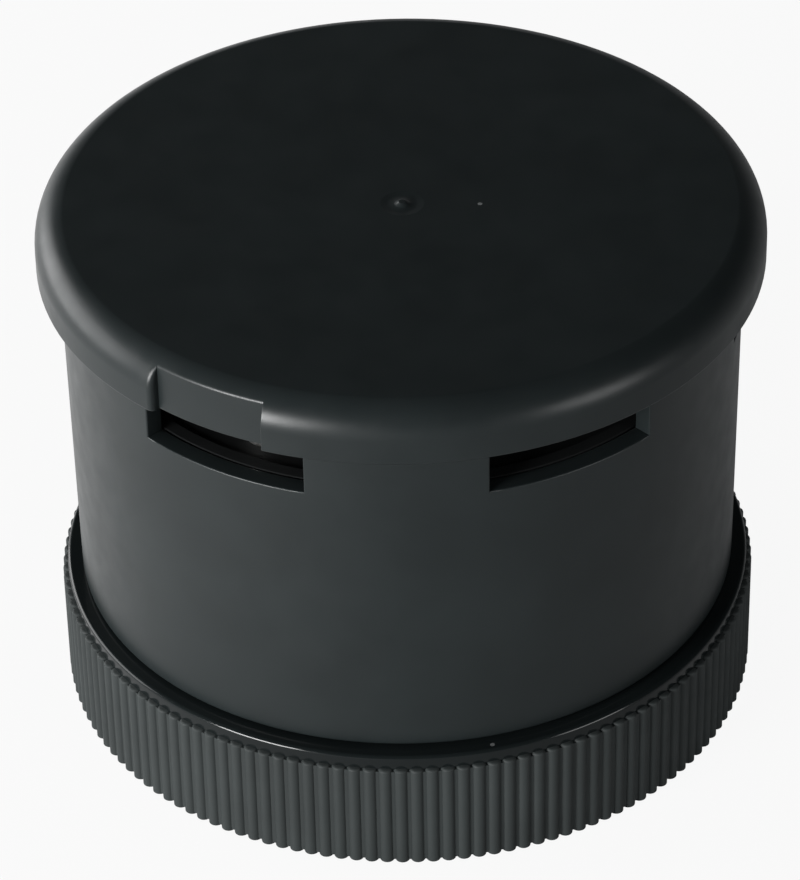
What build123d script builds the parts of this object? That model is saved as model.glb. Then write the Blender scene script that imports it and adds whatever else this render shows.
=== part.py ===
from build123d import *
import os

# Round alarm horn for the top of a 70 mm stack of signal lights. Millimetres, +Z up.
# The origin is the centre of the foot, on the plane that the coupling ring stands on.
# Azimuths are degrees from the front (-Y) towards the right (+X).

# Driving dimensions: the outside
CAP_R = 35.0
HEIGHT = 53.8
CAP_PLATE = 2.4
CAP_EDGE_R = 3.2
RIM_EDGE_R = 0.3
RIM_DEPTH = 5.65
BODY_TOP_R = 32.85
BODY_FOOT_R = 32.65
BODY_FOOT_Z = 13.2
BORE_R = 31.0

# Sound slots and the shallow notch in the cap's rim above the first of them
SLOT_COUNT = 6
SLOT_ARC = 30.0
FIRST_SLOT = -31.5
SLOT_Z = 42.7
SLOT_TOP_Z = 48.4
NOTCH_ARC = 19.4
NOTCH_R = 34.0
SNAP_COUNT = 3

# Coupling ring and the neck that it turns on
RING_TOP_Z = 12.9
COLLAR_ROUND = 0.4
RIB_COUNT = 144
FIRST_RIB = 0.8
RIB_R = 0.7
RIB_CREST_R = 34.7
RIB_ROOT_R = 34.4
RIB_ROOT_TOP_Z = 11.3
COLLAR_R = 34.15
RIB_TOP_Z = 11.55
RIB_TOP_ROUND = 0.25
RIB_FOOT_Z = 0.1
RIB_BACK_R = 33.5
SOCKET_R = 31.6
SOCKET_TOP_Z = 5.8
LIP_Z = 9.6
NECK_R = 30.3
NECK_WALL = 2.0
RUNNING_GAP = 0.1
LUG_COUNT = 3
LUG_ARC = 8.0
LOCK_TURN = 18.0
LUG_DEPTH = 1.3
FIRST_LUG = 20.0
STOP_ARC = 6.0

# Floors inside, from the bottom up
CARRIER_Z = 6.9
CARRIER_TOP_Z = 9.3
BOARD_Z = 22.0
BOARD_TOP_Z = 23.6
CASE_Z = 30.4
BAFFLE_Z = 40.4
BAFFLE_TOP_Z = 42.4

# Screw posts and screws
POST_PITCH_R = 25.8
POST_AZIMUTHS = (30.0, 150.0, 270.0)
BAFFLE_PITCH_R = 25.4
BAFFLE_AZIMUTHS = (90.0, 210.0, 330.0)
POST_R = 3.0
PILOT_R = 1.0
SCREW_R = 0.95
SCREW_HOLE_R = 1.2
HEAD_R = 2.1
HEAD_HEIGHT = 1.5
HEAD_ROUND = 0.7

# Contacts
PIN_COUNT = 6
PIN_PITCH_R = 14.0
PIN_R = 0.6
PIN_HOLE_R = 0.65

# Sounder
CASE_R = 20.0
CASE_BORE_R = 18.3
SEAT_Z = 34.6
DIAPHRAGM_Z = 35.2
DIAPHRAGM_R = 17.8
DIAPHRAGM_THICKNESS = 0.3
CERAMIC_R = 12.0
CERAMIC_THICKNESS = 0.25
PORT_R = 4.0
RED_X = 3.0
BLACK_X = -14.0
LEAD_R = 0.5

# A shape that joins another reaches this far into it
MERGE = 0.5

BASE = (Align.CENTER, Align.CENTER, Align.MIN)
CAP_UNDERSIDE_Z = HEIGHT - CAP_PLATE
RIM_Z = HEIGHT - RIM_DEPTH
SLOT_PITCH = 360.0 / SLOT_COUNT
FIRST_PIER = FIRST_SLOT + SLOT_PITCH / 2


def spot(radius, azimuth, z=0.0):
    """Place at a radius and azimuth, with local -Y pointing outwards."""
    return Rot(0, 0, azimuth) * Pos(0, -radius, z)


def disc(radius, z_low, z_high):
    return Pos(0, 0, z_low) * Cylinder(radius, z_high - z_low, align=BASE)


def annulus(r_in, r_out, z_low, z_high):
    return disc(r_out, z_low, z_high) - disc(r_in, z_low - 1, z_high + 1)


def outline(points, rounds=()):
    """Closed (radius, height) section; rounds are (corner, fillet radius) pairs."""
    section = make_face(Polyline(*points, close=True))
    for corner, radius in rounds:
        section = fillet(section.vertices().sort_by_distance((*corner, 0))[0], radius)
    return section


def turned(points, rounds=()):
    return revolve(Plane.XZ * outline(points, rounds), Axis.Z)


def swept(points, centre, arc):
    """A (radius, height) section turned through an arc about a centre azimuth."""
    start = centre - arc / 2 - 90
    return Rot(0, 0, start) * revolve(Plane.XZ * outline(points), Axis.Z, arc)


def sector(r_in, r_out, z_low, z_high, centre, arc):
    return swept([(r_in, z_low), (r_out, z_low), (r_out, z_high), (r_in, z_high)], centre, arc)


def slot_centres():
    return [FIRST_SLOT + SLOT_PITCH * k for k in range(SLOT_COUNT)]


def snap_centres():
    return [FIRST_PIER + 360.0 / SNAP_COUNT * k for k in range(SNAP_COUNT)]


def pin_azimuths():
    return [360.0 / PIN_COUNT * k for k in range(PIN_COUNT)]


def lug_azimuths():
    return [FIRST_LUG + 360.0 / LUG_COUNT * k for k in range(LUG_COUNT)]


# The cap's spigot, tongues and snap hooks fit inside the housing's mouth
SPIGOT_R = 30.9
SPIGOT_BORE_R = 29.4
RIM_BORE_R = BODY_TOP_R + 0.15
TONGUE_GAP_ARC = 0.4
HOOK_ARC = 16.0
HOOK_R = (29.6, 30.7)
HOOK_Z = 45.4
BARB_R = 31.6
BARB_Z = (46.2, 46.7)

# The moulding gate left a pip in a shallow dimple just in front of the cap's centre
GATE_AT = (0.2, -1.0)
DIMPLE_R = 1.8
DIMPLE_DEPTH = 0.1
PIP_R = 0.75
PIP_TOP_R = 0.35
PIP_HEIGHT = 0.3


def make_cap():
    shell = turned(
        [
            (0, CAP_UNDERSIDE_Z),
            (SPIGOT_BORE_R, CAP_UNDERSIDE_Z),
            (SPIGOT_BORE_R, SLOT_TOP_Z),
            (SPIGOT_R, SLOT_TOP_Z),
            (SPIGOT_R, CAP_UNDERSIDE_Z),
            (RIM_BORE_R, CAP_UNDERSIDE_Z),
            (RIM_BORE_R, RIM_Z),
            (CAP_R, RIM_Z),
            (CAP_R, HEIGHT),
            (0, HEIGHT),
        ],
        rounds=[((CAP_R, HEIGHT), CAP_EDGE_R), ((CAP_R, RIM_Z), RIM_EDGE_R)],
    )
    inside_spigot = SPIGOT_R - MERGE
    inside_plate = CAP_UNDERSIDE_Z + MERGE
    inside_rim = RIM_BORE_R + MERGE
    bridge_z = RIM_Z + RIM_EDGE_R
    for azimuth in slot_centres():
        arc = SLOT_ARC - TONGUE_GAP_ARC
        shell += sector(inside_spigot, BODY_TOP_R, SLOT_TOP_Z, inside_plate, azimuth, arc)
        shell += sector(BODY_TOP_R - MERGE, inside_rim, bridge_z, inside_plate, azimuth, arc)
    shell -= sector(NOTCH_R, CAP_R + 1, RIM_Z - 1, HEIGHT + 1, FIRST_SLOT, NOTCH_ARC)
    hook_in, hook_out = HOOK_R
    barb_low, barb_high = BARB_Z
    hook = [
        (hook_in, HOOK_Z),
        (hook_out, HOOK_Z),
        (BARB_R, barb_low),
        (BARB_R, barb_high),
        (hook_out, barb_high),
        (hook_out, SLOT_TOP_Z + MERGE),
        (hook_in, SLOT_TOP_Z + MERGE),
    ]
    for azimuth in snap_centres():
        shell += swept(hook, azimuth, HOOK_ARC)
    shell -= Pos(*GATE_AT) * disc(DIMPLE_R, HEIGHT - DIMPLE_DEPTH, HEIGHT + 1)
    pip = Cone(PIP_R, PIP_TOP_R, PIP_HEIGHT, align=BASE)
    return shell + Pos(*GATE_AT, HEIGHT - DIMPLE_DEPTH) * pip


# The housing's inner ledge carries the gasket and baffle; its floor ends in the neck
LEDGE_BORE_R = 28.6
LEDGE_TOP_Z = BAFFLE_Z - 1.0
LEDGE_HEIGHT = 1.4
FLOOR_TOP_Z = 15.5
FOOT_ROUND = 0.35
POCKET_R = 31.75
POCKET_Z = (45.3, 46.85)
POCKET_ARC = 18.0
BOSS_R = 2.8
BOSS_Z = 30.4
BOSS_FLOOR = 2.0
WEB = 1.6


def make_housing():
    neck_bore = NECK_R - NECK_WALL
    ledge_foot = LEDGE_TOP_Z - LEDGE_HEIGHT
    shell = turned(
        [
            (BODY_FOOT_R, BODY_FOOT_Z),
            (BODY_TOP_R, SLOT_Z),
            (BODY_TOP_R, CAP_UNDERSIDE_Z),
            (BORE_R, CAP_UNDERSIDE_Z),
            (BORE_R, LEDGE_TOP_Z),
            (LEDGE_BORE_R, LEDGE_TOP_Z),
            (LEDGE_BORE_R, ledge_foot),
            (BORE_R, ledge_foot - (BORE_R - LEDGE_BORE_R)),
            (BORE_R, FLOOR_TOP_Z),
            (neck_bore, FLOOR_TOP_Z),
            (neck_bore, CARRIER_TOP_Z),
            (NECK_R, CARRIER_TOP_Z),
            (NECK_R, BODY_FOOT_Z),
        ],
        rounds=[((BODY_FOOT_R, BODY_FOOT_Z), FOOT_ROUND)],
    )
    web_inner = POST_PITCH_R + 1
    web_outer = BORE_R + MERGE
    web_length = web_outer - web_inner
    post_web = Box(WEB, web_length, BOARD_Z - FLOOR_TOP_Z, align=BASE)
    boss_web = Box(WEB, web_length, LEDGE_TOP_Z - BOSS_Z, align=BASE)
    for azimuth in POST_AZIMUTHS:
        shell += spot(POST_PITCH_R, azimuth) * disc(POST_R, CARRIER_TOP_Z, BOARD_Z)
        shell += spot(web_inner + web_length / 2, azimuth, FLOOR_TOP_Z - MERGE) * post_web
    for azimuth in BAFFLE_AZIMUTHS:
        shell += spot(BAFFLE_PITCH_R, azimuth) * disc(BOSS_R, BOSS_Z, BAFFLE_Z)
        shell += spot(web_inner + web_length / 2, azimuth, BOSS_Z) * boss_web
    for azimuth in POST_AZIMUTHS:
        shell -= spot(POST_PITCH_R, azimuth) * disc(PILOT_R, CARRIER_TOP_Z - 1, BOARD_Z + 1)
    for azimuth in BAFFLE_AZIMUTHS:
        shell -= spot(BAFFLE_PITCH_R, azimuth) * disc(PILOT_R, BOSS_Z + BOSS_FLOOR, BAFFLE_Z + 1)
    for azimuth in slot_centres():
        shell -= sector(BORE_R - 1, BODY_TOP_R + 1, SLOT_Z, HEIGHT, azimuth, SLOT_ARC)
    for azimuth in snap_centres():
        shell -= sector(BORE_R - 1, POCKET_R, *POCKET_Z, azimuth, POCKET_ARC)
    return shell


# The ring's plain collar stands above the rounded tops of the ribs
MOUTH_CHAMFER = 0.4
FOOT_CHAMFER = 0.3
CAVITY_R = 32.0
LUG_SLOT_Z = (2.2, 4.2)
STOP_POCKET_R = 33.0
STOP_PLAY_ARC = 0.5


def rib(azimuth):
    """Upright round bar with a rounded top edge, sunk in the ring's wall up to its outer side."""
    bar = disc(RIB_R, RIB_FOOT_Z, RIB_TOP_Z)
    bar = fillet(bar.edges().group_by(Axis.Z)[-1], RIB_TOP_ROUND)
    return spot(RIB_CREST_R - RIB_R, azimuth) * bar - disc(RIB_BACK_R, 0, RIB_TOP_Z)


def make_coupling_ring():
    ring = turned(
        [
            (SOCKET_R + MOUTH_CHAMFER, 0),
            (SOCKET_R, MOUTH_CHAMFER),
            (SOCKET_R, SOCKET_TOP_Z),
            (CAVITY_R, SOCKET_TOP_Z),
            (CAVITY_R, LIP_Z),
            (NECK_R + RUNNING_GAP, LIP_Z),
            (NECK_R + RUNNING_GAP, RING_TOP_Z),
            (COLLAR_R, RING_TOP_Z),
            (COLLAR_R, RIB_ROOT_TOP_Z),
            (RIB_ROOT_R, RIB_ROOT_TOP_Z),
            (RIB_ROOT_R, FOOT_CHAMFER),
            (RIB_ROOT_R - FOOT_CHAMFER, 0),
        ],
        rounds=[((COLLAR_R, RING_TOP_Z), COLLAR_ROUND)],
    )
    groove_r = SOCKET_R + LUG_DEPTH
    for azimuth in lug_azimuths():
        ring -= sector(SOCKET_R - 1, groove_r, -1, LIP_Z, azimuth, LUG_ARC)
        locked = azimuth + LOCK_TURN / 2
        ring -= sector(SOCKET_R - 1, groove_r, *LUG_SLOT_Z, locked, LUG_ARC + LOCK_TURN)
    stop_arc = STOP_ARC + LOCK_TURN + 2 * STOP_PLAY_ARC
    stop_centre = FIRST_LUG + LOCK_TURN / 2
    ring -= sector(SOCKET_R - 1, STOP_POCKET_R, SOCKET_TOP_Z, LIP_Z, stop_centre, stop_arc)
    ribs = [rib(FIRST_RIB + 360.0 / RIB_COUNT * k) for k in range(RIB_COUNT)]
    return ring.fuse(*ribs)


# The carrier plate closes the neck, traps the ring and takes the contacts
CARRIER_R = 31.5
STOP_R = 32.7
PLATFORM_R = 21.5
PLATFORM_TOP_Z = 10.8
SEAL_R = (28.55, 31.05)
SEAL_Z = 5.95
SEAL_GROOVE = 0.3
SEAL_FIT = 0.05
SINK_R = 2.35
SINK_HOLE_R = 1.3
SINK_DEPTH = 1.2


def make_contact_carrier():
    plate = disc(CARRIER_R, CARRIER_Z, CARRIER_TOP_Z)
    plate += disc(PLATFORM_R, CARRIER_Z, PLATFORM_TOP_Z)
    plate += sector(CARRIER_R - 1, STOP_R, CARRIER_Z, CARRIER_TOP_Z, FIRST_LUG, STOP_ARC)
    r_in, r_out = SEAL_R
    groove = annulus(r_in - SEAL_FIT, r_out + SEAL_FIT, CARRIER_Z - 1, CARRIER_Z + SEAL_GROOVE)
    plate -= groove
    sink = Cone(SINK_R, SINK_HOLE_R, SINK_DEPTH, align=BASE)
    for azimuth in POST_AZIMUTHS:
        plate -= spot(POST_PITCH_R, azimuth) * disc(SINK_HOLE_R, CARRIER_Z - 1, CARRIER_TOP_Z + 1)
        plate -= spot(POST_PITCH_R, azimuth, CARRIER_Z) * sink
    for azimuth in pin_azimuths():
        plate -= spot(PIN_PITCH_R, azimuth) * disc(PIN_HOLE_R, CARRIER_Z - 1, PLATFORM_TOP_Z + 1)
    return plate


def make_coupling_seal():
    return annulus(*SEAL_R, SEAL_Z, CARRIER_Z + SEAL_GROOVE)


PIN_HEAD_R = 1.8
PIN_HEAD_HEIGHT = 0.5
PIN_STUB = 1.0


def make_contact_pin(azimuth):
    shank = disc(PIN_R, CARRIER_Z, BOARD_TOP_Z + PIN_STUB)
    head = disc(PIN_HEAD_R, CARRIER_Z - PIN_HEAD_HEIGHT, CARRIER_Z)
    return spot(PIN_PITCH_R, azimuth) * (shank + head)


CROSS_LENGTH = 2.6
CROSS_WIDTH = 0.55
CROSS_DEPTH = 0.8
CARRIER_SCREW_TIP_Z = 16.0
BOARD_SCREW_TIP_Z = 17.0
BAFFLE_SCREW_TIP_Z = 34.0


def cross_recess():
    return Box(CROSS_LENGTH, CROSS_WIDTH, CROSS_DEPTH) + Box(CROSS_WIDTH, CROSS_LENGTH, CROSS_DEPTH)


def pan_screw(seat_z, tip_z):
    """Pan-head screw pointing down, its head resting on seat_z."""
    head = disc(HEAD_R, seat_z, seat_z + HEAD_HEIGHT)
    head = fillet(head.edges().sort_by(Axis.Z)[-1], HEAD_ROUND)
    screw = head + disc(SCREW_R, tip_z, seat_z)
    return screw - Pos(0, 0, seat_z + HEAD_HEIGHT) * cross_recess()


def sunk_screw():
    """Countersunk screw pointing up, its head flush with the carrier's underside."""
    head = Pos(0, 0, CARRIER_Z) * Cone(SINK_R, SINK_HOLE_R, SINK_DEPTH, align=BASE)
    screw = head + disc(SCREW_R, CARRIER_Z + SINK_DEPTH, CARRIER_SCREW_TIP_Z)
    return screw - Pos(0, 0, CARRIER_Z) * cross_recess()


def screw_group(screw, radius, azimuths):
    return Compound([spot(radius, azimuth) * screw for azimuth in azimuths])


BOARD_R = 28.2
BOSS_CLEARANCE = 0.5


def make_circuit_board():
    board = disc(BOARD_R, BOARD_Z, BOARD_TOP_Z)
    notch_r = BOSS_R + BOSS_CLEARANCE
    for azimuth in BAFFLE_AZIMUTHS:
        place = spot(BAFFLE_PITCH_R, azimuth)
        board -= place * disc(notch_r, BOARD_Z - 1, BOARD_TOP_Z + 1)
        mouth = Box(2 * notch_r, 2 * notch_r, 4, align=(Align.CENTER, Align.MAX, Align.CENTER))
        board -= place * Pos(0, 0, BOARD_Z) * mouth
    for azimuth in POST_AZIMUTHS:
        board -= spot(POST_PITCH_R, azimuth) * disc(SCREW_HOLE_R, BOARD_Z - 1, BOARD_TOP_Z + 1)
    for azimuth in pin_azimuths():
        board -= spot(PIN_PITCH_R, azimuth) * disc(PIN_HOLE_R, BOARD_Z - 1, BOARD_TOP_Z + 1)
    return board


# Board parts stand on the board's top face
LEG = 0.5
LEG_PITCH = 2.54


def legs(xs, ys, height):
    """Square legs from the board up into a part's body, one at each x and y."""
    leg = Box(LEG, LEG, height + MERGE, align=BASE)
    return [Pos(x, y, 0) * leg for x in xs for y in ys]


CHIP_STAND = 0.5
CHIP_WIDTH = 6.4
CHIP_CHAMFER = 0.4
CHIP_Y = 5.0
BRIDGE_Y = -6.0


def packaged(length, height, leg_xs):
    """Moulded chip body on two rows of legs."""
    body = Pos(0, 0, CHIP_STAND) * Box(length, CHIP_WIDTH, height, align=BASE)
    body = chamfer(body.edges().group_by(Axis.Z)[-1], CHIP_CHAMFER)
    leg_y = CHIP_WIDTH / 2 - LEG / 2
    return body.fuse(*legs(leg_xs, (-leg_y, leg_y), CHIP_STAND))


def make_driver_chip():
    leg_xs = [LEG_PITCH * k for k in (-1.5, -0.5, 0.5, 1.5)]
    return Pos(0, CHIP_Y, BOARD_TOP_Z) * packaged(9.4, 3.3, leg_xs)


def make_bridge_rectifier():
    return Pos(0, BRIDGE_Y, BOARD_TOP_Z) * packaged(8.4, 2.9, (-LEG_PITCH, LEG_PITCH))


TRANSISTOR_X = -8.3
TRANSISTOR_R = 2.3
TRANSISTOR_HEIGHT = 4.4
TRANSISTOR_STAND = 1.4
TRANSISTOR_FLAT_Y = -1.4


def make_transistor():
    """Round moulded body with a flat on one side, on three legs in a row."""
    size = 2 * TRANSISTOR_R
    beyond_flat = Box(size, size, size, align=(Align.CENTER, Align.MAX, Align.MIN))
    body = Cylinder(TRANSISTOR_R, TRANSISTOR_HEIGHT, align=BASE)
    body -= Pos(0, TRANSISTOR_FLAT_Y, 0) * beyond_flat
    body = Pos(0, 0, TRANSISTOR_STAND) * body
    leg_xs = [LEG_PITCH / 2 * k for k in (-1, 0, 1)]
    body = body.fuse(*legs(leg_xs, (0,), TRANSISTOR_STAND))
    return Pos(TRANSISTOR_X, 0, BOARD_TOP_Z) * body


# The capacitors and the coil stand near the board's edge
BULKY_PITCH_R = 24.2
CAN_ROUND = 0.4
CRIMP_DEPTH = 0.3
CRIMP_Z = (1.2, 1.9)
VENT = 0.3


def make_capacitor(radius, height, azimuth):
    """Electrolytic can with a crimp round its foot and a cross scored in its top."""
    can = Cylinder(radius, height, align=BASE)
    can = fillet(can.edges().sort_by(Axis.Z)[-1], CAN_ROUND)
    can -= annulus(radius - CRIMP_DEPTH, radius + 1, *CRIMP_Z)
    for turn in (0, 90):
        can -= Pos(0, 0, height) * Rot(0, 0, turn) * Box(radius, VENT, VENT)
    return spot(BULKY_PITCH_R, azimuth, BOARD_TOP_Z) * can


COIL_AZIMUTH = 120.0
COIL_R = 3.75
COIL_HEIGHT = 8.0
COIL_FLANGE = 1.0
COIL_POST_R = 1.6
WINDING_R = (1.65, 3.45)


def make_coil_core():
    core = Cylinder(COIL_POST_R, COIL_HEIGHT, align=BASE)
    core += disc(COIL_R, 0, COIL_FLANGE)
    core += disc(COIL_R, COIL_HEIGHT - COIL_FLANGE, COIL_HEIGHT)
    return spot(BULKY_PITCH_R, COIL_AZIMUTH, BOARD_TOP_Z) * core


def make_coil_winding():
    wire = annulus(*WINDING_R, COIL_FLANGE, COIL_HEIGHT - COIL_FLANGE)
    return spot(BULKY_PITCH_R, COIL_AZIMUTH, BOARD_TOP_Z) * wire


VARISTOR_AZIMUTH = 60.0
VARISTOR_PITCH_R = 24.0
PUCK_R = 4.4
PUCK_THICKNESS = 3.4
PUCK_ROUND = 0.8
PUCK_STAND = 1.0


def make_varistor():
    """Dipped disc standing on edge on two legs."""
    puck = Rot(90, 0, 0) * Cylinder(PUCK_R, PUCK_THICKNESS)
    puck = fillet(puck.edges().filter_by(GeomType.CIRCLE), PUCK_ROUND)
    body = Pos(0, 0, PUCK_STAND + PUCK_R) * puck
    body = body.fuse(*legs((-LEG_PITCH, LEG_PITCH), (0,), 2 * PUCK_STAND))
    return spot(VARISTOR_PITCH_R, VARISTOR_AZIMUTH, BOARD_TOP_Z) * body


AXIAL_WIRE_R = 0.3
AXIAL_WIRE = 1.4
RESISTOR_SPOTS = ((8.0, 0.0), (17.0, 0.0), (-17.0, 3.5), (-17.0, -7.0))
DIODE_SPOTS = ((7.0, 17.0), (-7.0, 17.0))


def make_axial(body_r, body_length, x, y, turn):
    """Axial part lying on the board: a round body with a bent lead at each end."""
    along = Pos(0, 0, body_r) * Rot(0, 90, 0)
    body = along * Cylinder(body_r, body_length)
    body = fillet(body.edges().filter_by(GeomType.CIRCLE), AXIAL_WIRE_R)
    reach = body_length / 2 + AXIAL_WIRE
    part = body + along * Cylinder(AXIAL_WIRE_R, 2 * reach)
    for side in (-1, 1):
        part += Pos(side * reach, 0, 0) * Cylinder(AXIAL_WIRE_R, body_r, align=BASE)
        part += Pos(side * reach, 0, body_r) * Sphere(AXIAL_WIRE_R)
    return Pos(x, y, BOARD_TOP_Z) * Rot(0, 0, turn) * part


def make_resistor(x, y):
    return make_axial(1.1, 6.0, x, y, 90)


def make_diode(x, y):
    return make_axial(1.3, 4.6, x, y, 0)


# The sounder: a cup with a stepped bore, the diaphragm on its seat, and the port plate
CASE_FLOOR = 1.5
CASE_ROUND = 0.8
SEAT_BORE_R = 16.3
SEAT_FIT = 0.1
LEAD_HOLE_R = 0.8
PORT_PLATE_R = 18.2
PORT_PLATE = 1.6
PORT_SKIRT_R = 16.8


def make_sounder_case():
    case = turned(
        [
            (0, CASE_Z),
            (CASE_R, CASE_Z),
            (CASE_R, BAFFLE_Z),
            (CASE_BORE_R, BAFFLE_Z),
            (CASE_BORE_R, SEAT_Z),
            (SEAT_BORE_R, SEAT_Z),
            (SEAT_BORE_R, CASE_Z + CASE_FLOOR),
            (0, CASE_Z + CASE_FLOOR),
        ],
        rounds=[((CASE_R, CASE_Z), CASE_ROUND)],
    )
    for x in (RED_X, BLACK_X):
        case -= Pos(x, 0, 0) * disc(LEAD_HOLE_R, CASE_Z - 1, CASE_Z + CASE_FLOOR + 1)
    return case


def make_diaphragm_seat():
    return annulus(SEAT_BORE_R, CASE_BORE_R - SEAT_FIT, SEAT_Z, DIAPHRAGM_Z)


def make_diaphragm():
    return disc(DIAPHRAGM_R, DIAPHRAGM_Z, DIAPHRAGM_Z + DIAPHRAGM_THICKNESS)


def make_ceramic_disc():
    return disc(CERAMIC_R, DIAPHRAGM_Z - CERAMIC_THICKNESS, DIAPHRAGM_Z)


def make_port_plate():
    skirt_z = DIAPHRAGM_Z + DIAPHRAGM_THICKNESS
    plate = disc(PORT_PLATE_R, BAFFLE_Z - PORT_PLATE, BAFFLE_Z)
    plate += annulus(PORT_SKIRT_R, PORT_PLATE_R, skirt_z, BAFFLE_Z - PORT_PLATE)
    return plate - disc(PORT_R, BAFFLE_Z - PORT_PLATE - 1, BAFFLE_Z + 1)


BAFFLE_R = 30.8
APERTURE_R = 12.0
COLLAR_WALL = 1.4
COLLAR_HEIGHT = 1.5
RIM_HEIGHT = 0.3


def make_baffle():
    plate = disc(BAFFLE_R, BAFFLE_Z, BAFFLE_TOP_Z)
    plate += annulus(BAFFLE_R - COLLAR_WALL, BAFFLE_R, BAFFLE_TOP_Z, BAFFLE_TOP_Z + RIM_HEIGHT)
    plate += disc(APERTURE_R + COLLAR_WALL, BAFFLE_TOP_Z, BAFFLE_TOP_Z + COLLAR_HEIGHT)
    plate -= disc(APERTURE_R, BAFFLE_Z - 1, BAFFLE_TOP_Z + COLLAR_HEIGHT + 1)
    for azimuth in BAFFLE_AZIMUTHS:
        plate -= spot(BAFFLE_PITCH_R, azimuth) * disc(SCREW_HOLE_R, BAFFLE_Z - 1, BAFFLE_TOP_Z + 1)
    return plate


GASKET_BORE_R = 28.9


def make_baffle_gasket():
    return annulus(GASKET_BORE_R, BAFFLE_R, LEDGE_TOP_Z, BAFFLE_Z)


LEAD_CLEARANCE_Z = 28.4
LEAD_BEND_R = 2.0
RED_START_Y = -11.8
BLACK_START_Y = -13.0


def make_lead(x, start_y, end_z):
    """Lead from the board up, across under the sounder case and in through its floor."""
    route = [
        (x, start_y, BOARD_TOP_Z),
        (x, start_y, LEAD_CLEARANCE_Z),
        (x, 0, LEAD_CLEARANCE_Z),
        (x, 0, end_z),
    ]
    path = FilletPolyline(*route, radius=LEAD_BEND_R)
    return sweep(Plane(origin=route[0], z_dir=(0, 0, 1)) * Circle(LEAD_R), path=path)


def make_parts():
    parts = {
        "cap": make_cap(),
        "housing": make_housing(),
        "coupling_ring": make_coupling_ring(),
        "contact_carrier": make_contact_carrier(),
        "coupling_seal": make_coupling_seal(),
        "carrier_screws": screw_group(sunk_screw(), POST_PITCH_R, POST_AZIMUTHS),
        "circuit_board": make_circuit_board(),
        "board_screws": screw_group(
            pan_screw(BOARD_TOP_Z, BOARD_SCREW_TIP_Z), POST_PITCH_R, POST_AZIMUTHS
        ),
        "driver_chip": make_driver_chip(),
        "bridge_rectifier": make_bridge_rectifier(),
        "transistor": make_transistor(),
        "capacitor_large": make_capacitor(3.75, 12.0, 0.0),
        "capacitor_small": make_capacitor(3.15, 9.0, 180.0),
        "coil_core": make_coil_core(),
        "coil_winding": make_coil_winding(),
        "varistor": make_varistor(),
        "sounder_case": make_sounder_case(),
        "diaphragm_seat": make_diaphragm_seat(),
        "diaphragm": make_diaphragm(),
        "ceramic_disc": make_ceramic_disc(),
        "port_plate": make_port_plate(),
        "baffle": make_baffle(),
        "baffle_gasket": make_baffle_gasket(),
        "baffle_screws": screw_group(
            pan_screw(BAFFLE_TOP_Z, BAFFLE_SCREW_TIP_Z), BAFFLE_PITCH_R, BAFFLE_AZIMUTHS
        ),
        "lead_red": make_lead(RED_X, RED_START_Y, DIAPHRAGM_Z - CERAMIC_THICKNESS),
        "lead_black": make_lead(BLACK_X, BLACK_START_Y, DIAPHRAGM_Z),
    }
    for number, azimuth in enumerate(pin_azimuths(), start=1):
        parts[f"contact_pin_{number}"] = make_contact_pin(azimuth)
    for number, (x, y) in enumerate(RESISTOR_SPOTS, start=1):
        parts[f"resistor_{number}"] = make_resistor(x, y)
    for number, (x, y) in enumerate(DIODE_SPOTS, start=1):
        parts[f"diode_{number}"] = make_diode(x, y)
    return parts


parts = make_parts()
os.makedirs("parts", exist_ok=True)
for name, shape in parts.items():
    export_step(shape, f"parts/{name}.step")
    print(f"{name}: {shape.volume:.1f} mm3")
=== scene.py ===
"""Looks of a round alarm horn that stands on top of a stack of signal lights.

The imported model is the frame: heights and radii below are in millimetres from its foot and axis,
and azimuths are in degrees from the front (-Y) towards the right (+X).
"""
from math import atan2, ceil, cos, degrees, pi, radians, sin, sqrt

import bmesh
import bpy
from mathutils import Matrix, Quaternion, Vector, kdtree


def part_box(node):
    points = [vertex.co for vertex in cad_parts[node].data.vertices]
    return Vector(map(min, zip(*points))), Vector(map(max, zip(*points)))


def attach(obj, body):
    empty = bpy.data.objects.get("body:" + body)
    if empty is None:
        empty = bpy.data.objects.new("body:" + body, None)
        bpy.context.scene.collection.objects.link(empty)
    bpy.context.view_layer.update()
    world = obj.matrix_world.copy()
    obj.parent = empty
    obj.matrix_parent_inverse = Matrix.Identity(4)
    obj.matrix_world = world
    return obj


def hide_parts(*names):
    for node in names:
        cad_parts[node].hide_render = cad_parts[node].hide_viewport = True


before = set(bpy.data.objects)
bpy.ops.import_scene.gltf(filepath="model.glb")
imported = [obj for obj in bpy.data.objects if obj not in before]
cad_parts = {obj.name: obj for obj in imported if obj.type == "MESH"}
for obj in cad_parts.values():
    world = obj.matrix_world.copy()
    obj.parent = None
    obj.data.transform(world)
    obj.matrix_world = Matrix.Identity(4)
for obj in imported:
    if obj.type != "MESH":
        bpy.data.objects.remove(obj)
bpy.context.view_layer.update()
scene = bpy.context.scene
MM = 0.001

# ---------------------------------------------------------------- cap
# The cap is a moulded plate with a rolled edge. Its rim hangs over the housing, six tongues close
# the tops of the sound slots, and three snap hooks hold it. A shallow notch in the rim, over one
# slot, is where a screwdriver starts to prise it off. The gate left a pip near the middle.


def box_of(node):
    """Foot height, top height and radius of a CAD node that is centred on the axis."""
    low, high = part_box(node)
    return low.z / MM, high.z / MM, (high.x - low.x) / 2 / MM


def at(radius, azimuth, height=0.0):
    angle = radians(azimuth)
    return Vector((radius * sin(angle), -radius * cos(angle), height)) * MM


def radius_of(point):
    return sqrt(point.x**2 + point.y**2) / MM


def azimuth_of(point):
    return degrees(atan2(point.x, -point.y))


def arc(centre, radius, start, stop, steps):
    """Points of a round stretch of a (radius, height) outline, from one angle to another."""
    angles = [radians(start + (stop - start) * k / steps) for k in range(steps + 1)]
    return [(centre[0] + radius * cos(a), centre[1] + radius * sin(a)) for a in angles]


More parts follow.
